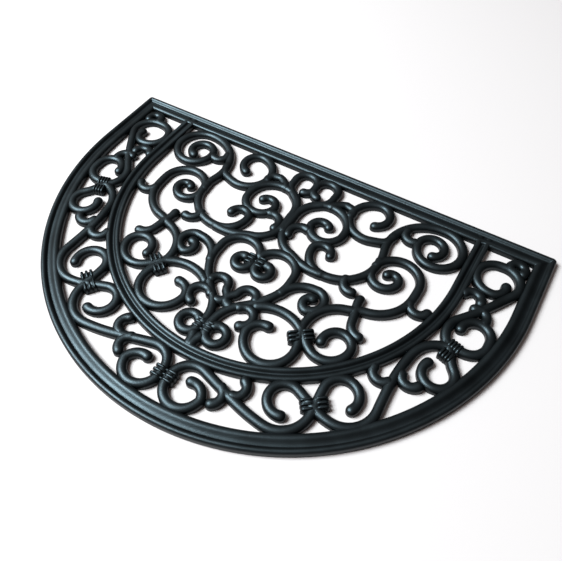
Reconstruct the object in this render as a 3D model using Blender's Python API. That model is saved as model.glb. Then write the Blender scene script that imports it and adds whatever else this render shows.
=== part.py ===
"""Half moon scroll doormat: one moulded rubber body lying on the floor.

Metres, +Z up. The straight edge lies along X and the round edge points to -Y.
The origin is under the middle of the mat, on the floor. The pattern tables are
in millimetres, with the straight edge near y = 0, and hold the right half only:
each scroll is repeated mirrored in X.
"""
import math

import bmesh
import bpy

NODE = "half_moon_mat"
MM = 0.00099                # the tables are drawn one per cent over the mat's real size

# Outline and border, in table millimetres
HALF_WIDTH = 461.5
BACK_EDGE = 3.0
ROUND_START = -146.0        # the straight sides end here and the round edge begins
ROUND_DEPTH = 473.5
CENTRE_Y = (BACK_EDGE + ROUND_START - ROUND_DEPTH) / 2
CORNER_RADIUS = 7.5
BORDER_WIDTH = 33.0

# Inner band, along its centre line
BAND_HALF_SPAN = 333.0
BAND_ROUND_START = -150.0
BAND_ROUND_DEPTH = 339.0

# Rods
ROD_RADIUS = 8.6
HEIGHT = 13.3
END_REACH = 7.6             # a rod's round end goes this far past its last point
END_WIDTH_SHARE = 0.5
END_HEIGHT_SHARE = 0.8
ARC_STEP_DEGREES = 36.0
LONGEST_STEP = 36.0
SHORTEST_STEP = 6.0
RING_STEP_DEGREES = 6.0
JOIN_PULL = 1.1             # how far each arc's heading carries into a join, as a share of the gap

# Ties
TIE_BLOCK_MARGIN = 3.4
TIE_BLOCK_HEIGHT = 10.6
RIB_FOOT = 3.4
RIB_CREST = 1.6
RIB_TOP = 15.2
RIB_SUNK = 5.0              # how deep a rib's foot sits inside the block
RIB_OVERHANG = 1.0

FLAT_DEGREES = 0.5          # faces closer than this to one plane become one face

RUBBER_COLOUR = (0.018, 0.020, 0.021, 1.0)
RUBBER_ROUGHNESS = 0.42

# Border section: distance in from the outer edge, height
BORDER_SECTION = [
    (0.0, 0.0),
    (0.0, 8.6),
    (2.2, 12.7),
    (7.2, 13.4),
    (11.2, 9.4),
    (13.8, 8.9),
    (18.6, 10.7),
    (23.0, 13.2),
    (28.4, 13.2),
    (31.8, 11.2),
    (33.0, 7.9),
    (33.0, 0.0),
]

# Band section: distance out from the centre line, height
BAND_SECTION = [
    (-13.0, 0.0),
    (-13.0, 8.3),
    (-10.4, 13.0),
    (-5.6, 13.2),
    (-1.8, 9.0),
    (1.8, 9.0),
    (5.6, 13.2),
    (10.4, 13.0),
    (13.0, 8.3),
    (13.0, 0.0),
]

# Rod section: shares of the radius across and of the height
ROD_SECTION = [
    (-1.0, 0.0),
    (-0.66, 1.0),
    (0.66, 1.0),
    (1.0, 0.0),
]

# Each scroll is a chain of arcs, read from its ball end:
# centre x, centre y, radius at the start, radius at the end, bearing at the start, bearing at the end
SCROLLS = {
    "corner_scroll": [
        (259.5, -86, 17, 28, -70, 180),
        (267.5, -84, 36, 50, 190, 450),
        (262.5, -111, 77, 80, 105, 195),
        (214, -188, 26.5, 25, 165, 345),
        (221.5, -189.5, 16.5, 10.5, 365, 495),
    ],
    "bar_hook": [
        (134.5, -64, 27, 28, -69, 85),
        (139.5, -82, 46, 46, 95, 290),
        (119.5, -86, 67, 67, 340, 350),
    ],
    "ball_loop": [
        (89, -198.5, 18.5, 19, 5, 180),
        (115, -197.5, 44.5, 44, 180, 270),
        (117, -167.5, 74, 73, 275, 365),
    ],
    "crown_hook": [
        (-16.5, -63, 18, 17, -85, -5),
        (23.5, -56, 24, 22.5, 185, 0),
        (15.5, -69, 30, 30, 5, -40),
        (56.5, -139, 51, 53, 150, 185),
        (56.5, -177, 54, 54, 182, 248),
        (99.5, -149, 96, 94, 240, 278),
    ],
    "centre_spiral": [
        (60, -147, 16, 19, 37, 180),
        (68, -142, 28, 37, 190, 350),
        (57, -139, 48, 54, 0, 175),
        (54, -175, 54, 54, 180, 195),
    ],
    "spur_a": [(34, -182, 21, 21, 70, 205)],
    "spur_b": [
        (88, -109, 42, 42, 150, 100),
        (82, -84, 13, 13, 80, -30),
    ],
    "heart": [
        (38, -276.5, 40, 38.5, 160, 0),
        (1, -289.5, 76, 76, 5, -30),
        (72, -424.5, 67, 66, 130, 186),
    ],
    "tie_curl": [(22.5, -287.5, 17.5, 12, 170, 450)],
    "heart_curl": [
        (29, -352, 17, 17.5, 5, 180),
        (-14, -367, 15, 15, -5, -85),
    ],
    "heart_hook": [(44, -388, 18.5, 19.3, 140, -73)],
    "long_scroll": [
        (231, -185, 44, 43.5, 165, 0),
        (203, -205, 71, 70, -5, -80),
        (204, -345, 62, 64, 105, 185),
        (109, -404, 44.5, 44.5, 5, -175),
        (90, -408, 25.5, 25.5, 180, 85),
    ],
    "cross_scroll": [
        (205, -356, 25.5, 25, 195, 0),
        (191.5, -354, 38.5, 38, -5, -120),
        (96.5, -419, 74, 74, 55, 125),
    ],
    "small_spiral": [
        (126, -323.5, 53, 47, 170, 95),
        (126, -299, 23, 23, 85, -85),
        (129, -306.5, 16.5, 11, 270, 100),
    ],
    "spur_c": [(173, -232, 18, 18, 170, 285)],
    "spur_d": [
        (260, -258, 63, 63, 178, 200),
        (231, -300, 25, 25, 195, 265),
    ],
    "spur_e": [(291, -216, 18, 17, 190, 335)],
    "spur_f": [(218, -74, 16, 16, 165, 300)],
    "base_curl": [(27, -441, 17, 19, 130, -190)],
    "foot_stem": [(60, -480, 58, 58, 157, 177)],
    "corner_ring": [
        (382, -106, 20.8, 20.8, 15, -90),
        (381, -93, 33.5, 34, -95, -270),
        (388, -94, 35.5, 35.5, 90, -30),
        (386, -232, 40, 40, 140, 225),
        (365, -321, 27.5, 24, 45, -210),
    ],
    "side_scroll": [
        (391, -222, 25, 25, 180, 5),
        (386, -233, 30, 30, 0, -90),
        (370, -320, 55, 55, 120, 168),
        (262, -430, 50, 49, 4, -95),
        (183, -482.5, 27, 27, 70, 287),
    ],
    "base_scroll": [
        (253, -431, 28.5, 28.5, -29, 180),
        (178.5, -485, 50.5, 49.5, 0, -95),
        (41, -537, 33.5, 33, 75, 180),
        (41.5, -547, 33.5, 32, 185, 335),
        (49.5, -554, 24.5, 24, 5, 105),
    ],
    "spur_g": [(82, -531, 17.5, 17.5, 65, -60)],
    "spur_h": [(108, -502, 16.5, 16.5, 65, -80)],
    "spur_i": [(292, -362, 17, 17, 175, 320)],
    "spur_j": [(334, -347, 17, 17, 190, 325)],
    "spur_k": [(360, -156, 16.5, 16.5, 155, 0)],
    "spur_l": [(380, -187, 17, 17, 120, -25)],
    "spur_m": [(407, -53, 14, 13, 200, -30)],
}

# Each tie: centre x, centre y, bearing of its ribs, half length of its ribs, number of ribs, rib spacing
TIES = {
    "heart_top": (0, -278, 0, 20, 3, 8.6),
    "heart_foot": (0, -437, 0, 19, 3, 7.8),
    "base_pair": (0, -543, 0, 22, 3, 8.1),
    "cross_pair": (148, -372, 37, 23, 3, 7.8),
    "side_pair": (367, -272, 74, 22, 4, 5.6),
    "long_pair": (226, -466, 37, 23, 3, 7.8),
}


def clear_scene():
    for item in list(bpy.data.objects):
        bpy.data.objects.remove(item, do_unlink=True)


def rubber():
    material = bpy.data.materials.new("black_rubber")
    material.use_nodes = True
    surface = material.node_tree.nodes["Principled BSDF"]
    surface.inputs["Base Color"].default_value = RUBBER_COLOUR
    surface.inputs["Roughness"].default_value = RUBBER_ROUGHNESS
    surface.inputs["Metallic"].default_value = 0.0
    material.diffuse_color = RUBBER_COLOUR
    return material


def arc_points(row):
    """Points along one arc whose radius changes evenly from start to end."""
    centre_x, centre_y, radius_from, radius_to, bearing_from, bearing_to = row
    turn = abs(bearing_to - bearing_from)
    length = math.radians(turn) * (radius_from + radius_to) / 2
    count = max(2, math.ceil(turn / ARC_STEP_DEGREES), math.ceil(length / LONGEST_STEP))
    points = []
    for index in range(count + 1):
        share = index / count
        bearing = math.radians(bearing_from + (bearing_to - bearing_from) * share)
        radius = radius_from + (radius_to - radius_from) * share
        points.append((centre_x + radius * math.cos(bearing), centre_y + radius * math.sin(bearing)))
    return points


def arc_heading(row, at_start):
    """Direction of travel at one end of an arc."""
    bearing = row[4] if at_start else row[5]
    quarter = 90 if row[5] > row[4] else -90
    return math.radians(bearing + quarter)


def joining_points(start, heading_from, end, heading_to):
    """Smooth points between two arcs, leaving out both ends."""
    gap = math.dist(start, end)
    if gap < SHORTEST_STEP:
        return []
    pull = gap * JOIN_PULL
    count = max(2, math.ceil(gap / LONGEST_STEP))
    points = []
    for index in range(1, count):
        t = index / count
        weight_start = 2 * t ** 3 - 3 * t ** 2 + 1
        weight_leave = t ** 3 - 2 * t ** 2 + t
        weight_end = 3 * t ** 2 - 2 * t ** 3
        weight_arrive = t ** 3 - t ** 2
        x = (weight_start * start[0] + weight_leave * pull * math.cos(heading_from)
             + weight_end * end[0] + weight_arrive * pull * math.cos(heading_to))
        y = (weight_start * start[1] + weight_leave * pull * math.sin(heading_from)
             + weight_end * end[1] + weight_arrive * pull * math.sin(heading_to))
        points.append((x, y))
    return points


def scroll_path(rows):
    path = []
    for number, row in enumerate(rows):
        arc = arc_points(row)
        if path:
            leave = arc_heading(rows[number - 1], at_start=False)
            arrive = arc_heading(row, at_start=True)
            path += joining_points(path[-1], leave, arc[0], arrive)
            if math.dist(path[-1], arc[0]) < SHORTEST_STEP:
                path.pop()
        path += arc
    return path


def normals(path, closed=False):
    """Unit normals to the left of the path, at each point."""
    found = []
    last = len(path) - 1
    for index in range(len(path)):
        before = path[index - 1] if index > 0 or closed else path[0]
        after = path[(index + 1) % len(path)] if index < last or closed else path[last]
        along = (after[0] - before[0], after[1] - before[1])
        size = math.hypot(*along)
        found.append((-along[1] / size, along[0] / size))
    return found


def loft(name, rings, closed):
    """A closed body through rings of points in table millimetres."""
    mesh = bmesh.new()
    layers = []
    for ring in rings:
        layers.append([mesh.verts.new((x * MM, (y - CENTRE_Y) * MM, z * MM)) for x, y, z in ring])
    sides = len(rings[0])
    pairs = len(layers) if closed else len(layers) - 1
    for index in range(pairs):
        here = layers[index]
        there = layers[(index + 1) % len(layers)]
        for side in range(sides):
            after = (side + 1) % sides
            mesh.faces.new((here[side], here[after], there[after], there[side]))
    if not closed:
        mesh.faces.new(list(reversed(layers[0])))
        mesh.faces.new(layers[-1])
    bmesh.ops.recalc_face_normals(mesh, faces=mesh.faces)
    data = bpy.data.meshes.new(name)
    mesh.to_mesh(data)
    mesh.free()
    body = bpy.data.objects.new(name, data)
    bpy.context.scene.collection.objects.link(body)
    return body


def rod_ring(point, normal, width_share, height_share):
    """One ring of a rod, narrowed and lowered for a round end."""
    ring = []
    for across, rise in ROD_SECTION:
        side = across * ROD_RADIUS * width_share
        ring.append((point[0] + normal[0] * side, point[1] + normal[1] * side, rise * HEIGHT * height_share))
    return ring


def rod(name, path, mirrored):
    """A half round rod along the path, with round ends."""
    side = -1 if mirrored else 1
    path = [(x * side, y) for x, y in path]
    across = normals(path)
    start_along = (across[0][1], -across[0][0])
    end_along = (across[-1][1], -across[-1][0])
    behind = (path[0][0] - start_along[0] * END_REACH, path[0][1] - start_along[1] * END_REACH)
    ahead = (path[-1][0] + end_along[0] * END_REACH, path[-1][1] + end_along[1] * END_REACH)
    rings = [rod_ring(behind, across[0], END_WIDTH_SHARE, END_HEIGHT_SHARE)]
    rings += [rod_ring(point, normal, 1.0, 1.0) for point, normal in zip(path, across)]
    rings.append(rod_ring(ahead, across[-1], END_WIDTH_SHARE, END_HEIGHT_SHARE))
    return loft(name, rings, closed=False)


def outline(inset):
    """The mat's outline, moved inwards, anticlockwise from the right side."""
    half = HALF_WIDTH - inset
    back = BACK_EDGE - inset
    corner = max(CORNER_RADIUS - inset, 0.5)
    points = []
    for centre, start in ((half - corner, 0), (corner - half, 90)):
        for step in range(4):
            bearing = math.radians(start + 30 * step)
            points.append((centre + corner * math.cos(bearing), back - corner + corner * math.sin(bearing)))
    steps = round(180 / RING_STEP_DEGREES)
    for step in range(steps + 1):
        bearing = math.radians(180 + 180 * step / steps)
        points.append((half * math.cos(bearing), ROUND_START + (ROUND_DEPTH - inset) * math.sin(bearing)))
    return points


def border():
    """The moulded border: each section point gives one closed line around the mat."""
    lines = [[(x, y, height) for x, y in outline(inset)] for inset, height in BORDER_SECTION]
    rings = [list(ring) for ring in zip(*lines)]
    return loft("border", rings, closed=True)


def band():
    """The inner band, from the back border round to the back border."""
    steps = round(180 / RING_STEP_DEGREES)
    back = BACK_EDGE - BORDER_WIDTH / 2
    rings = []
    rings.append([(-BAND_HALF_SPAN - out, back, height) for out, height in BAND_SECTION])
    for step in range(steps + 1):
        bearing = math.radians(180 + 180 * step / steps)
        ring = []
        for out, height in BAND_SECTION:
            x = (BAND_HALF_SPAN + out) * math.cos(bearing)
            y = BAND_ROUND_START + (BAND_ROUND_DEPTH + out) * math.sin(bearing)
            ring.append((x, y, height))
        rings.append(ring)
    rings.append([(BAND_HALF_SPAN + out, back, height) for out, height in BAND_SECTION])
    return loft("band", rings, closed=False)


def bar(name, centre, bearing, half_length, section):
    """A straight bar with the given section of distance across and height."""
    along = (math.cos(math.radians(bearing)), math.sin(math.radians(bearing)))
    rings = []
    for end in (-half_length, half_length):
        ring = []
        for across, height in section:
            x = centre[0] + along[0] * end - along[1] * across
            y = centre[1] + along[1] * end + along[0] * across
            ring.append((x, y, height))
        rings.append(ring)
    return loft(name, rings, closed=False)


def tie(name, row, mirrored):
    """A low block across two rods, with ribs that stand up out of it."""
    x, y, bearing, half_length, count, pitch = row
    if mirrored:
        x = -x
        bearing = 180 - bearing
    half = (count - 1) / 2 * pitch + TIE_BLOCK_MARGIN
    block = [(-half, 0.0), (-half, TIE_BLOCK_HEIGHT), (half, TIE_BLOCK_HEIGHT), (half, 0.0)]
    bodies = [bar(name + "_block", (x, y), bearing, half_length - RIB_OVERHANG, block)]
    sunk = TIE_BLOCK_HEIGHT - RIB_SUNK
    rib = [(-RIB_FOOT, sunk), (-RIB_CREST, RIB_TOP), (RIB_CREST, RIB_TOP), (RIB_FOOT, sunk)]
    along = (math.cos(math.radians(bearing)), math.sin(math.radians(bearing)))
    for index in range(count):
        offset = (index - (count - 1) / 2) * pitch
        place = (x - along[1] * offset, y + along[0] * offset)
        bodies.append(bar(name + "_rib_" + str(index), place, bearing, half_length, rib))
    return bodies


def pattern_bodies():
    bodies = [band()]
    for name, rows in SCROLLS.items():
        path = scroll_path(rows)
        bodies.append(rod(name + "_right", path, mirrored=False))
        bodies.append(rod(name + "_left", path, mirrored=True))
    for name, row in TIES.items():
        bodies += tie(name + "_right", row, mirrored=False)
        if row[0]:
            bodies += tie(name + "_left", row, mirrored=True)
    return bodies


def fuse(base, bodies):
    """One mesh from the base and every other body."""
    group = bpy.data.collections.new("pattern")
    bpy.context.scene.collection.children.link(group)
    for body in bodies:
        group.objects.link(body)
        bpy.context.scene.collection.objects.unlink(body)
    union = base.modifiers.new("union", "BOOLEAN")
    union.operation = "UNION"
    union.operand_type = "COLLECTION"
    union.collection = group
    union.solver = "EXACT"
    union.use_self = True
    graph = bpy.context.evaluated_depsgraph_get()
    fused = bpy.data.meshes.new_from_object(base.evaluated_get(graph))
    base.modifiers.clear()
    base.data = fused
    for body in bodies:
        bpy.data.objects.remove(body, do_unlink=True)
    bpy.data.collections.remove(group)


def tidy(body):
    """Merges slivers and takes out edges that lie inside flat faces."""
    mesh = bmesh.new()
    mesh.from_mesh(body.data)
    bmesh.ops.dissolve_limit(mesh, angle_limit=math.radians(FLAT_DEGREES), verts=mesh.verts, edges=mesh.edges)
    bmesh.ops.recalc_face_normals(mesh, faces=mesh.faces)
    mesh.to_mesh(body.data)
    mesh.free()


def build_mat():
    mat = border()
    mat.name = NODE
    mat.data.name = NODE
    fuse(mat, pattern_bodies())
    tidy(mat)
    mat.data.materials.clear()
    mat.data.materials.append(rubber())
    return mat


def main():
    clear_scene()
    build_mat()


main()
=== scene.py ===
"""Looks of the half moon doormat: one moulded rubber body on a pale studio floor.

Lengths of the mat are in table millimetres, with the straight edge near y = 0. The
pattern tables hold the right half only, and each row is repeated mirrored in X. The
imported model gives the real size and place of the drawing.
"""

import math

import bmesh
import bpy
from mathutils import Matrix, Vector


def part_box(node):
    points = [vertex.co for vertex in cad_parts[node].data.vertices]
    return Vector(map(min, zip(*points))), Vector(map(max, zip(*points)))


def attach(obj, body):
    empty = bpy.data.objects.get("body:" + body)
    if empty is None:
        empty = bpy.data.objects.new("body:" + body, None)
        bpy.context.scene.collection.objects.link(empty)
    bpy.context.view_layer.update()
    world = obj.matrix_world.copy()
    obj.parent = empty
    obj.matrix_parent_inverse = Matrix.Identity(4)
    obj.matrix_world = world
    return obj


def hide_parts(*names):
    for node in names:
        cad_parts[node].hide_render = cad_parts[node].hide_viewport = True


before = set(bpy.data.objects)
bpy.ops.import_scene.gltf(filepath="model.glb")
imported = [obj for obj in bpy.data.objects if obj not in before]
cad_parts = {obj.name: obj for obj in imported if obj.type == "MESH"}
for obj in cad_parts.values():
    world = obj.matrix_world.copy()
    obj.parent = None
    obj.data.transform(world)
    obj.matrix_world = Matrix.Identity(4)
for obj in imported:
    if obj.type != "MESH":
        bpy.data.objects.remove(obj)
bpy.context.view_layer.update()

NODE = "half_moon_mat"
IMAGE_WIDTH = 562.0
SENSOR_WIDTH = 36.0

# Camera, from the vanishing directions and the outline of the mat
FOCAL_PIXELS = 602.5
CAMERA_AZIMUTH = 31.24
CAMERA_ELEVATION = 52.77
CAMERA_PLACE = (390.9, -835.6, 833.1)     # across, back and above the top of the mat

# Outline and border
HALF_WIDTH = 461.5
BACK_EDGE = 3.0
ROUND_START = -146.0        # the straight sides end here and the round edge begins
ROUND_DEPTH = 473.5
CORNER_RADIUS = 7.5
BORDER_WIDTH = 33.0

# Inner band, along its centre line
BAND_HALF_SPAN = 333.0
BAND_ROUND_START = -150.0
BAND_ROUND_DEPTH = 339.0

# Rods
HEIGHT = 13.3
ROD_RADIUS = 8.6
ROD_CROWN = 6.8             # height of the rounded top above the straight walls
ROD_FACETS = 12
BALL_RADIUS = 9.3
BALL_RINGS = 5
BALL_LAST_DEGREES = 88.0
SWELL_LENGTH = 14.0         # the rod grows into its ball over this length
ARC_STEP_DEGREES = 9.0
LONGEST_STEP = 9.0
SHORTEST_STEP = 6.0
RING_STEP_DEGREES = 1.5
CORNER_STEPS = 6
JOIN_PULL = 1.1             # how far each arc's heading carries into a join, as a share of the gap

# Ties
TIE_BLOCK_MARGIN = 4.0
TIE_BLOCK_HEIGHT = 10.4
TIE_BLOCK_DIP = 2.6         # how far the block sinks between its two rods
TIE_BLOCK_BEVEL = 1.5
RIB_RADIUS = 2.5
RIB_TOP = 15.2
RIB_DIP = 3.4
RIB_FACETS = 8
RIB_OVERHANG = 1.0          # the ribs reach this far past each end of the block

# Half of a bar over two rods, outwards from the dip between them: distance, width share, share of the dip
ARCH_DIP = [
    (0.0, 0.9, 1.0),
    (2.0, 0.9, 0.92),
    (3.6, 0.94, 0.5),
    (5.2, 1.0, 0.12),
    (7.0, 1.0, 0.0),
]

# The outer end of the bar: distance in from its tip, width share, drop
ARCH_TIP = [
    (6.0, 1.0, 0.0),
    (3.4, 1.0, 0.7),
    (1.6, 0.95, 2.4),
    (0.4, 0.85, 5.4),
    (0.0, 0.7, 8.6),
]

CREASE_DEGREES = 34.0

# Rubber
DEEP_COLOUR = (0.0003, 0.0003, 0.0003, 1.0)
# Colour for up-facing faces: partly dust, partly painted light on the tops, so the walls stay darker as
# painted shade
DUST_AND_TOP_LIGHT_COLOUR = (0.003, 0.0032, 0.0034, 1.0)
SPECULAR_LEVEL = 0.30
SPECULAR_TINT = (0.80, 0.93, 1.0, 1.0)
RUBBER_IOR = 1.52
ROUGHNESS_LOW = 0.34
ROUGHNESS_HIGH = 0.44
CLOUD_SCALE = 26.0          # broad patches of dust and gloss, per metre
GRAIN_SCALE = 520.0         # the fine pebbled skin, per metre
GRAIN_STRENGTH = 0.5
GRAIN_DEPTH = 0.0004        # metres
DUST_LEAST = 0.55

# Studio, in metres, watts and degrees
SKY_COLOUR = (1.0, 0.97, 0.95, 1.0)
SKY_BRIGHT_SIDE = (-0.55, -0.35, 0.76)
SKY_DARK = 0.03
SKY_BRIGHT = 0.45
SKY_LOW = 0.0
SKY_HIGH = 0.95
KEY_BEARING = -155
KEY_ELEVATION = 54
KEY_DISTANCE = 5.2
KEY_SIZE = (3.0, 2.5)
KEY_WATTS = 1000
KEY_COLOUR = (0.75, 0.93, 1.0)
FLOOR_COLOUR = (0.47, 0.385, 0.365, 1.0)
FLOOR_HALF_SPAN = 6.0
FLOOR_ROUGHNESS = 0.9
FLOOR_SPECULAR = 0.1

# Border section: distance in from the outer edge, height
BORDER_SECTION = [
    (0.0, 0.0),
    (0.0, 8.5),
    (0.6, 10.9),
    (2.0, 12.6),
    (4.0, 13.4),
    (6.2, 13.5),
    (8.2, 12.9),
    (9.6, 11.5),
    (10.8, 9.9),
    (12.2, 8.9),
    (13.6, 8.9),
    (15.6, 9.4),
    (17.6, 10.2),
    (19.6, 11.3),
    (21.6, 12.5),
    (23.4, 13.3),
    (25.2, 13.5),
    (27.6, 13.3),
    (29.8, 12.6),
    (31.6, 11.3),
    (32.7, 9.5),
    (33.0, 7.9),
    (33.0, 0.0),
]

# Band section: distance out from the centre line, height
BAND_SECTION = [
    (-13.0, 0.0),
    (-13.0, 8.3),
    (-12.4, 10.7),
    (-11.0, 12.4),
    (-9.0, 13.2),
    (-6.6, 13.3),
    (-4.8, 12.6),
    (-3.2, 11.1),
    (-2.0, 9.5),
    (-0.8, 8.7),
    (0.8, 8.7),
    (2.0, 9.5),
    (3.2, 11.1),
    (4.8, 12.6),
    (6.6, 13.3),
    (9.0, 13.2),
    (11.0, 12.4),
    (12.4, 10.7),
    (13.0, 8.3),
    (13.0, 0.0),
]

# Each scroll is a chain of arcs, read from its ball end:
# centre x, centre y, radius at the start, radius at the end, bearing at the start, bearing at the end
SCROLLS = {
    "corner_scroll": [
        (259.5, -86, 17, 28, -70, 180),
        (267.5, -84, 36, 50, 190, 450),
        (262.5, -111, 77, 80, 105, 195),
        (214, -188, 26.5, 25, 165, 345),
        (221.5, -189.5, 16.5, 10.5, 365, 495),
    ],
    "bar_hook": [
        (134.5, -64, 27, 28, -69, 85),
        (139.5, -82, 46, 46, 95, 290),
        (119.5, -86, 67, 67, 340, 350),
    ],
    "ball_loop": [
        (89, -198.5, 18.5, 19, 5, 180),
        (115, -197.5, 44.5, 44, 180, 270),
        (117, -167.5, 74, 73, 275, 365),
    ],
    "crown_hook": [
        (-16.5, -63, 18, 17, -85, -5),
        (23.5, -56, 24, 22.5, 185, 0),
        (15.5, -69, 30, 30, 5, -40),
        (56.5, -139, 51, 53, 150, 185),
        (56.5, -177, 54, 54, 182, 248),
        (99.5, -149, 96, 94, 240, 278),
    ],
    "centre_spiral": [
        (60, -147, 16, 19, 37, 180),
        (68, -142, 28, 37, 190, 350),
        (57, -139, 48, 54, 0, 175),
        (54, -175, 54, 54, 180, 195),
    ],
    "spur_a": [(34, -182, 21, 21, 70, 205)],
    "spur_b": [
        (88, -109, 42, 42, 150, 100),
        (82, -84, 13, 13, 80, -30),
    ],
    "heart": [
        (38, -276.5, 40, 38.5, 160, 0),
        (1, -289.5, 76, 76, 5, -30),
        (72, -424.5, 67, 66, 130, 186),
    ],
    "tie_curl": [(22.5, -287.5, 17.5, 12, 170, 450)],
    "heart_curl": [
        (29, -352, 17, 17.5, 5, 180),
        (-14, -367, 15, 15, -5, -85),
    ],
    "heart_hook": [(44, -388, 18.5, 19.3, 140, -73)],
    "long_scroll": [
        (231, -185, 44, 43.5, 165, 0),
        (203, -205, 71, 70, -5, -80),
        (204, -345, 62, 64, 105, 185),
        (109, -404, 44.5, 44.5, 5, -175),
        (90, -408, 25.5, 25.5, 180, 85),
    ],
    "cross_scroll": [
        (205, -356, 25.5, 25, 195, 0),
        (191.5, -354, 38.5, 38, -5, -120),
        (96.5, -419, 74, 74, 55, 125),
    ],
    "small_spiral": [
        (126, -323.5, 53, 47, 170, 95),
        (126, -299, 23, 23, 85, -85),
        (129, -306.5, 16.5, 11, 270, 100),
    ],
    "spur_c": [(173, -232, 18, 18, 170, 285)],
    "spur_d": [
        (260, -258, 63, 63, 178, 200),
        (231, -300, 25, 25, 195, 265),
    ],
    "spur_e": [(291, -216, 18, 17, 190, 335)],
    "spur_f": [(218, -74, 16, 16, 165, 300)],
    "base_curl": [(27, -441, 17, 19, 130, -190)],
    "foot_stem": [(60, -480, 58, 58, 157, 177)],
    "corner_ring": [
        (382, -106, 20.8, 20.8, 15, -90),
        (381, -93, 33.5, 34, -95, -270),
        (388, -94, 35.5, 35.5, 90, -30),
        (386, -232, 40, 40, 140, 225),
        (365, -321, 27.5, 24, 45, -210),
    ],
    "side_scroll": [
        (391, -222, 25, 25, 180, 5),
        (386, -233, 30, 30, 0, -90),
        (370, -320, 55, 55, 120, 168),
        (262, -430, 50, 49, 4, -95),
        (183, -482.5, 27, 27, 70, 287),
    ],
    "base_scroll": [
        (253, -431, 28.5, 28.5, -29, 180),
        (178.5, -485, 50.5, 49.5, 0, -95),
        (41, -537, 33.5, 33, 75, 180),
        (41.5, -547, 33.5, 32, 185, 335),
        (49.5, -554, 24.5, 24, 5, 105),
    ],
    "spur_g": [(82, -531, 17.5, 17.5, 65, -60)],
    "spur_h": [(108, -502, 16.5, 16.5, 65, -80)],
    "spur_i": [(292, -362, 17, 17, 175, 320)],
    "spur_j": [(334, -347, 17, 17, 190, 325)],
    "spur_k": [(360, -156, 16.5, 16.5, 155, 0)],
    "spur_l": [(380, -187, 17, 17, 120, -25)],
    "spur_m": [(407, -53, 14, 13, 200, -30)],
}

# Each tie: centre x, centre y, bearing of its ribs, half length of its ribs, number of ribs, rib spacing
TIES = {
    "heart_top": (0, -278, 0, 20, 3, 8.6),
    "heart_foot": (0, -437, 0, 19, 3, 7.8),
    "base_pair": (0, -543, 0, 22, 3, 8.1),
    "cross_pair": (148, -372, 37, 23, 3, 7.8),
    "side_pair": (367, -272, 74, 22, 4, 5.6),
    "long_pair": (226, -466, 37, 23, 3, 7.8),
}

low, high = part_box(NODE)
MM = (high.x - low.x) / (2 * HALF_WIDTH)


def place(x, y, z):
    """A point of the drawing in the frame's metres."""
    return Vector((x * MM, high.y + (y - BACK_EDGE) * MM, low.z + z * MM))


def make_camera():
    data = bpy.data.cameras.new("camera")
    data.sensor_width = SENSOR_WIDTH
    data.lens = FOCAL_PIXELS * SENSOR_WIDTH / IMAGE_WIDTH
    camera = bpy.data.objects.new("camera", data)
    bpy.context.scene.collection.objects.link(camera)
    x, y, above = CAMERA_PLACE
    camera.location = place(x, y, HEIGHT + above)
    camera.rotation_euler = (math.radians(90 - CAMERA_ELEVATION), 0, math.radians(CAMERA_AZIMUTH))
    bpy.context.scene.camera = camera


def aim(item, target):
    item.rotation_euler = (Vector(target) - item.location).to_track_quat("-Z", "Y").to_euler()


def area_light(name, bearing, elevation, distance, size, watts, colour):
    """A soft box, aimed at the middle of the mat."""
    data = bpy.data.lights.new(name, "AREA")
    data.shape = "RECTANGLE"
    data.size = size[0]
    data.size_y = size[1]
    data.energy = watts
    data.color = colour
    light = bpy.data.objects.new(name, data)
    bpy.context.scene.collection.objects.link(light)
    flat = distance * math.cos(math.radians(elevation))
    light.location = (flat * math.cos(math.radians(bearing)), flat * math.sin(math.radians(bearing)),
                      distance * math.sin(math.radians(elevation)))
    aim(light, (0, 0, 0))


def make_sky():
    """A studio that is pale on one side of the ceiling and fades to dark on the other."""
    world = bpy.data.worlds.new("studio")
    world.use_nodes = True
    nodes = world.node_tree.nodes
    links = world.node_tree.links
    sky = nodes["Background"]
    sky.inputs["Color"].default_value = SKY_COLOUR
    towards = nodes.new("ShaderNodeTexCoord")
    facing = nodes.new("ShaderNodeVectorMath")
    facing.operation = "DOT_PRODUCT"
    facing.inputs[1].default_value = SKY_BRIGHT_SIDE
    links.new(towards.outputs["Generated"], facing.inputs[0])
    rise = nodes.new("ShaderNodeMapRange")
    rise.interpolation_type = "SMOOTHSTEP"
    rise.inputs["From Min"].default_value = SKY_LOW
    rise.inputs["From Max"].default_value = SKY_HIGH
    rise.inputs["To Min"].default_value = SKY_DARK
    rise.inputs["To Max"].default_value = SKY_BRIGHT
    links.new(facing.outputs["Value"], rise.inputs["Value"])
    links.new(rise.outputs["Result"], sky.inputs["Strength"])
    bpy.context.scene.world = world


def make_light():
    area_light("key", KEY_BEARING, KEY_ELEVATION, KEY_DISTANCE, KEY_SIZE, KEY_WATTS, KEY_COLOUR)
    bpy.context.scene.view_settings.view_transform = "Standard"


def make_floor():
    mesh = bmesh.new()
    bmesh.ops.create_grid(mesh, x_segments=1, y_segments=1, size=FLOOR_HALF_SPAN)
    data = bpy.data.meshes.new("floor")
    mesh.to_mesh(data)
    mesh.free()
    floor = bpy.data.objects.new("floor", data)
    floor.location.z = low.z
    bpy.context.scene.collection.objects.link(floor)
    material = bpy.data.materials.new("pale_floor")
    material.use_nodes = True
    surface = material.node_tree.nodes["Principled BSDF"]
    surface.inputs["Base Color"].default_value = FLOOR_COLOUR
    surface.inputs["Roughness"].default_value = FLOOR_ROUGHNESS
    surface.inputs["Specular IOR Level"].default_value = FLOOR_SPECULAR
    data.materials.append(material)


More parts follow.
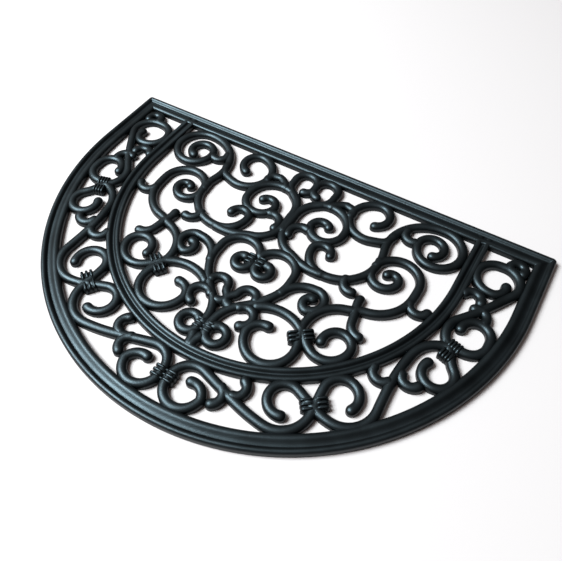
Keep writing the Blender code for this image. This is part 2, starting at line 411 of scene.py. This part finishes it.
def arc_points(row):
    """Points along one arc whose radius changes evenly from start to end."""
    centre_x, centre_y, radius_from, radius_to, bearing_from, bearing_to = row
    turn = abs(bearing_to - bearing_from)
    length = math.radians(turn) * (radius_from + radius_to) / 2
    count = max(3, math.ceil(turn / ARC_STEP_DEGREES), math.ceil(length / LONGEST_STEP))
    points = []
    for index in range(count + 1):
        share = index / count
        bearing = math.radians(bearing_from + (bearing_to - bearing_from) * share)
        radius = radius_from + (radius_to - radius_from) * share
        points.append((centre_x + radius * math.cos(bearing), centre_y + radius * math.sin(bearing)))
    return points


def arc_heading(row, at_start):
    """Direction of travel at one end of an arc."""
    bearing = row[4] if at_start else row[5]
    quarter = 90 if row[5] > row[4] else -90
    return math.radians(bearing + quarter)


def joining_points(start, heading_from, end, heading_to):
    """Smooth points between two arcs, leaving out both ends."""
    gap = math.dist(start, end)
    if gap < SHORTEST_STEP:
        return []
    pull = gap * JOIN_PULL
    count = max(2, math.ceil(gap / LONGEST_STEP))
    points = []
    for index in range(1, count):
        t = index / count
        weight_start = 2 * t ** 3 - 3 * t ** 2 + 1
        weight_leave = t ** 3 - 2 * t ** 2 + t
        weight_end = 3 * t ** 2 - 2 * t ** 3
        weight_arrive = t ** 3 - t ** 2
        x = (weight_start * start[0] + weight_leave * pull * math.cos(heading_from)
             + weight_end * end[0] + weight_arrive * pull * math.cos(heading_to))
        y = (weight_start * start[1] + weight_leave * pull * math.sin(heading_from)
             + weight_end * end[1] + weight_arrive * pull * math.sin(heading_to))
        points.append((x, y))
    return points


def scroll_path(rows):
    path = []
    for number, row in enumerate(rows):
        arc = arc_points(row)
        if path:
            leave = arc_heading(rows[number - 1], at_start=False)
            arrive = arc_heading(row, at_start=True)
            path += joining_points(path[-1], leave, arc[0], arrive)
            if math.dist(path[-1], arc[0]) < SHORTEST_STEP:
                path.pop()
        path += arc
    return path


def directions(path):
    """Unit direction of travel at each point."""
    found = []
    for index in range(len(path)):
        before = path[max(index - 1, 0)]
        after = path[min(index + 1, len(path) - 1)]
        size = math.dist(before, after)
        found.append(((after[0] - before[0]) / size, (after[1] - before[1]) / size))
    return found


def loft(name, rings, closed):
    """A closed body through rings of points in table millimetres."""
    mesh = bmesh.new()
    layers = [[mesh.verts.new(place(*point)) for point in ring] for ring in rings]
    sides = len(rings[0])
    pairs = len(layers) if closed else len(layers) - 1
    for index in range(pairs):
        here = layers[index]
        there = layers[(index + 1) % len(layers)]
        for side in range(sides):
            after = (side + 1) % sides
            mesh.faces.new((here[side], here[after], there[after], there[side]))
    if not closed:
        mesh.faces.new(list(reversed(layers[0])))
        mesh.faces.new(layers[-1])
    bmesh.ops.recalc_face_normals(mesh, faces=mesh.faces)
    data = bpy.data.meshes.new(name)
    mesh.to_mesh(data)
    mesh.free()
    body = bpy.data.objects.new(name, data)
    bpy.context.scene.collection.objects.link(body)
    return body


def rod_ring(point, along, radius):
    """A low arch on straight walls, square to the rod."""
    wall = HEIGHT - ROD_CROWN
    rise = ROD_CROWN * radius / ROD_RADIUS
    section = [(-radius, 0.0)]
    for facet in range(ROD_FACETS + 1):
        angle = math.pi * (1 - facet / ROD_FACETS)
        section.append((radius * math.cos(angle), wall + rise * math.sin(angle)))
    section.append((radius, 0.0))
    return [(point[0] - along[1] * side, point[1] + along[0] * side, height) for side, height in section]


def end_rings(point, along):
    """Rings that close a rod in a round end, from the rod outwards."""
    rings = []
    for step in range(1, BALL_RINGS + 1):
        angle = math.radians(BALL_LAST_DEGREES * step / BALL_RINGS)
        reach = BALL_RADIUS * math.sin(angle)
        ahead = (point[0] + along[0] * reach, point[1] + along[1] * reach)
        rings.append(rod_ring(ahead, along, BALL_RADIUS * math.cos(angle)))
    return rings


def rod_radius_at(walked, total):
    """The rod swells slightly into each of its round ends."""
    from_end = min(walked, total - walked)
    share = max(0.0, 1.0 - from_end / SWELL_LENGTH)
    return ROD_RADIUS + (BALL_RADIUS - ROD_RADIUS) * share * share * (3 - 2 * share)


def rod(name, path, mirrored):
    side = -1 if mirrored else 1
    path = [(x * side, y) for x, y in path]
    along = directions(path)
    walks = [0.0]
    for before, after in zip(path, path[1:]):
        walks.append(walks[-1] + math.dist(before, after))
    back = (-along[0][0], -along[0][1])
    start = [list(reversed(ring)) for ring in reversed(end_rings(path[0], back))]
    middle = [rod_ring(point, heading, rod_radius_at(walked, walks[-1]))
              for point, heading, walked in zip(path, along, walks)]
    return loft(name, start + middle + end_rings(path[-1], along[-1]), closed=False)


def outline(inset):
    """The mat's outline, moved inwards, from the right corner round to the right side."""
    half = HALF_WIDTH - inset
    back = BACK_EDGE - inset
    corner = max(CORNER_RADIUS - inset, 0.5)
    points = []
    for centre, start in ((half - corner, 0), (corner - half, 90)):
        for step in range(CORNER_STEPS + 1):
            bearing = math.radians(start + 90 * step / CORNER_STEPS)
            points.append((centre + corner * math.cos(bearing), back - corner + corner * math.sin(bearing)))
    steps = round(180 / RING_STEP_DEGREES)
    for step in range(steps + 1):
        bearing = math.radians(180 + 180 * step / steps)
        points.append((half * math.cos(bearing), ROUND_START + (ROUND_DEPTH - inset) * math.sin(bearing)))
    return points


def border():
    lines = [[(x, y, height) for x, y in outline(inset)] for inset, height in BORDER_SECTION]
    return loft("border", [list(ring) for ring in zip(*lines)], closed=True)


def band():
    """The inner band, from the back border round to the back border."""
    steps = round(180 / RING_STEP_DEGREES)
    back = BACK_EDGE - BORDER_WIDTH / 2
    rings = [[(-BAND_HALF_SPAN - out, back, height) for out, height in BAND_SECTION]]
    for step in range(steps + 1):
        bearing = math.radians(180 + 180 * step / steps)
        ring = []
        for out, height in BAND_SECTION:
            x = (BAND_HALF_SPAN + out) * math.cos(bearing)
            y = BAND_ROUND_START + (BAND_ROUND_DEPTH + out) * math.sin(bearing)
            ring.append((x, y, height))
        rings.append(ring)
    rings.append([(BAND_HALF_SPAN + out, back, height) for out, height in BAND_SECTION])
    return loft("band", rings, closed=False)


def bar(name, centre, bearing, stations, section):
    """A straight bar; each station is its distance along, width share and height drop."""
    along = (math.cos(math.radians(bearing)), math.sin(math.radians(bearing)))
    rings = []
    for distance, share, drop in stations:
        ring = []
        for across, height in section:
            side = across * share
            x = centre[0] + along[0] * distance - along[1] * side
            y = centre[1] + along[1] * distance + along[0] * side
            ring.append((x, y, max(height - drop, 0.0)))
        rings.append(ring)
    return loft(name, rings, closed=False)


def arch_stations(half_length, dip):
    """Stations of a bar that arches over one rod, dips between the two and arches over the other."""
    half = [(distance, width, dip * share) for distance, width, share in ARCH_DIP]
    half += [(half_length - inset, width, drop) for inset, width, drop in ARCH_TIP]
    mirrored = [(-distance, share, drop) for distance, share, drop in reversed(half[1:])]
    return mirrored + half


def tie(name, row, mirrored):
    """A low block across two rods, with ribs that arch over each rod."""
    x, y, bearing, half_length, count, pitch = row
    if mirrored:
        x = -x
        bearing = 180 - bearing
    half = (count - 1) / 2 * pitch + TIE_BLOCK_MARGIN
    shoulder = TIE_BLOCK_HEIGHT - TIE_BLOCK_BEVEL
    flat = half - TIE_BLOCK_BEVEL
    block = [
        (-half, 0.0),
        (-half, shoulder),
        (-flat, TIE_BLOCK_HEIGHT),
        (flat, TIE_BLOCK_HEIGHT),
        (half, shoulder),
        (half, 0.0),
    ]
    stations = arch_stations(half_length - RIB_OVERHANG, TIE_BLOCK_DIP)
    bodies = [bar(name + "_block", (x, y), bearing, stations, block)]
    rib = [(-RIB_RADIUS, 0.0)]
    for facet in range(RIB_FACETS + 1):
        angle = math.pi * (1 - facet / RIB_FACETS)
        rib.append((RIB_RADIUS * math.cos(angle), RIB_TOP - RIB_RADIUS + RIB_RADIUS * math.sin(angle)))
    rib.append((RIB_RADIUS, 0.0))
    stations = arch_stations(half_length, RIB_DIP)
    along = (math.cos(math.radians(bearing)), math.sin(math.radians(bearing)))
    for index in range(count):
        offset = (index - (count - 1) / 2) * pitch
        spot = (x - along[1] * offset, y + along[0] * offset)
        bodies.append(bar(name + "_rib_" + str(index), spot, bearing, stations, rib))
    return bodies


def pattern_bodies():
    bodies = [band()]
    for name, rows in SCROLLS.items():
        path = scroll_path(rows)
        bodies.append(rod(name + "_right", path, mirrored=False))
        bodies.append(rod(name + "_left", path, mirrored=True))
    for name, row in TIES.items():
        bodies += tie(name + "_right", row, mirrored=False)
        if row[0]:
            bodies += tie(name + "_left", row, mirrored=True)
    return bodies


def fuse(base, bodies):
    """One mesh from the base and every other body."""
    group = bpy.data.collections.new("pattern")
    bpy.context.scene.collection.children.link(group)
    for body in bodies:
        group.objects.link(body)
        bpy.context.scene.collection.objects.unlink(body)
    union = base.modifiers.new("union", "BOOLEAN")
    union.operation = "UNION"
    union.operand_type = "COLLECTION"
    union.collection = group
    union.solver = "MANIFOLD"
    graph = bpy.context.evaluated_depsgraph_get()
    fused = bpy.data.meshes.new_from_object(base.evaluated_get(graph))
    base.modifiers.clear()
    base.data = fused
    for body in bodies:
        bpy.data.objects.remove(body, do_unlink=True)
    bpy.data.collections.remove(group)


def rubber():
    """Black moulded rubber: fine pebbled skin, and a lighter colour where it faces up, partly dust and
    partly painted light on the tops that leaves the walls darker as painted shade.
    """
    material = bpy.data.materials.new("black_rubber")
    material.use_nodes = True
    tree = material.node_tree
    nodes = tree.nodes
    links = tree.links
    surface = nodes["Principled BSDF"]
    surface.inputs["Metallic"].default_value = 0.0
    surface.inputs["IOR"].default_value = RUBBER_IOR
    surface.inputs["Specular IOR Level"].default_value = SPECULAR_LEVEL
    surface.inputs["Specular Tint"].default_value = SPECULAR_TINT

    spot = nodes.new("ShaderNodeTexCoord")
    cloud = nodes.new("ShaderNodeTexNoise")
    cloud.inputs["Scale"].default_value = CLOUD_SCALE
    cloud.inputs["Detail"].default_value = 4.0
    links.new(spot.outputs["Object"], cloud.inputs["Vector"])
    grain = nodes.new("ShaderNodeTexNoise")
    grain.inputs["Scale"].default_value = GRAIN_SCALE
    grain.inputs["Detail"].default_value = 3.0
    links.new(spot.outputs["Object"], grain.inputs["Vector"])

    shape = nodes.new("ShaderNodeNewGeometry")
    split = nodes.new("ShaderNodeSeparateXYZ")
    links.new(shape.outputs["Normal"], split.inputs["Vector"])
    # Share of facing up: lighter tops and darker walls, partly dust and partly painted shade
    facing = nodes.new("ShaderNodeMapRange")
    facing.inputs["From Min"].default_value = 0.1
    facing.inputs["From Max"].default_value = 1.0
    facing.inputs["To Min"].default_value = 0.0
    facing.inputs["To Max"].default_value = 1.0
    links.new(split.outputs["Z"], facing.inputs["Value"])

    patch = nodes.new("ShaderNodeMapRange")
    patch.inputs["From Min"].default_value = 0.3
    patch.inputs["From Max"].default_value = 0.75
    patch.inputs["To Min"].default_value = DUST_LEAST
    patch.inputs["To Max"].default_value = 1.0
    links.new(cloud.outputs["Fac"], patch.inputs["Value"])
    # Painted shade and dust: the up-facing share times the random dust patches, so walls stay at the deep
    # black
    dust_and_top_light = nodes.new("ShaderNodeMath")
    dust_and_top_light.operation = "MULTIPLY"
    links.new(facing.outputs["Result"], dust_and_top_light.inputs[0])
    links.new(patch.outputs["Result"], dust_and_top_light.inputs[1])

    tint = nodes.new("ShaderNodeMix")
    tint.data_type = "RGBA"
    tint.inputs["A"].default_value = DEEP_COLOUR
    tint.inputs["B"].default_value = DUST_AND_TOP_LIGHT_COLOUR
    links.new(dust_and_top_light.outputs["Value"], tint.inputs["Factor"])
    links.new(tint.outputs["Result"], surface.inputs["Base Color"])

    gloss = nodes.new("ShaderNodeMapRange")
    gloss.inputs["From Min"].default_value = 0.3
    gloss.inputs["From Max"].default_value = 0.7
    gloss.inputs["To Min"].default_value = ROUGHNESS_LOW
    gloss.inputs["To Max"].default_value = ROUGHNESS_HIGH
    links.new(cloud.outputs["Fac"], gloss.inputs["Value"])
    links.new(gloss.outputs["Result"], surface.inputs["Roughness"])

    relief = nodes.new("ShaderNodeBump")
    relief.inputs["Strength"].default_value = GRAIN_STRENGTH
    relief.inputs["Distance"].default_value = GRAIN_DEPTH
    links.new(grain.outputs["Fac"], relief.inputs["Height"])
    links.new(relief.outputs["Normal"], surface.inputs["Normal"])
    return material


def make_mat():
    mat = border()
    mat.name = "doormat"
    fuse(mat, pattern_bodies())
    mat.data.materials.clear()
    mat.data.materials.append(rubber())
    mat.data.shade_smooth()
    mat.data.set_sharp_from_angle(angle=math.radians(CREASE_DEGREES))
    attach(mat, "root")
    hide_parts(NODE)


make_camera()
make_sky()
make_light()
make_floor()
make_mat()
